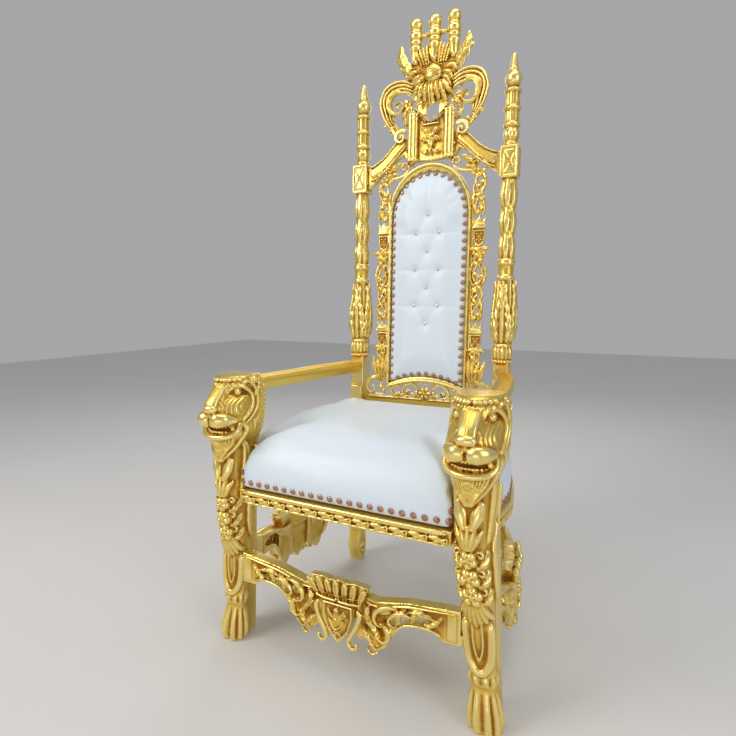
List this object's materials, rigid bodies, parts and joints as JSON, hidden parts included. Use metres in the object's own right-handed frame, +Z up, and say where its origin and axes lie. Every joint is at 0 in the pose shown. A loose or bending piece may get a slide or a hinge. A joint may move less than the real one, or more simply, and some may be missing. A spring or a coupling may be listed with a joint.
{
  "type": "carved lion throne",
  "caption": "High-backed ceremonial armchair with lion-headed front legs, finialed posts, an arched upholstered back in pierced carving, a crowned crest and a domed seat.",
  "frame": {"origin": "centre of the bounding box, at floor height", "axes": "+Z up, the throne faces -Y, +X to the right as seen from the front, which is the sitter's left"},
  "size_m": [0.7864, 0.7306, 1.83],
  "materials": {
    "gilding": "carved wood, gold leaf over a reddish ground, burnished bright on the high places",
    "upholstery": "smooth white leatherette with a cool cast, soft sheen",
    "nail_heads": "domed upholstery nails, pinkish bronze",
    "crystal": "faceted clear crystal buttons"
  },
  "bodies": {
    "root": {"back_post_right": "gilding", "back_post_left": "gilding", "back_frame": "gilding", "back_pad": "upholstery", "side_fret_right": "gilding", "side_fret_left": "gilding", "lower_fret": "gilding", "crest": "gilding", "front_leg_right": "gilding", "front_leg_left": "gilding", "arm_right": "gilding", "arm_left": "gilding", "front_rail": "gilding", "side_rail_right": "gilding", "side_rail_left": "gilding", "back_rail": "gilding", "front_stretcher": "gilding", "side_stretcher_right": "gilding", "side_stretcher_left": "gilding", "seat_cushion": "upholstery"}
  },
  "joints": []
}
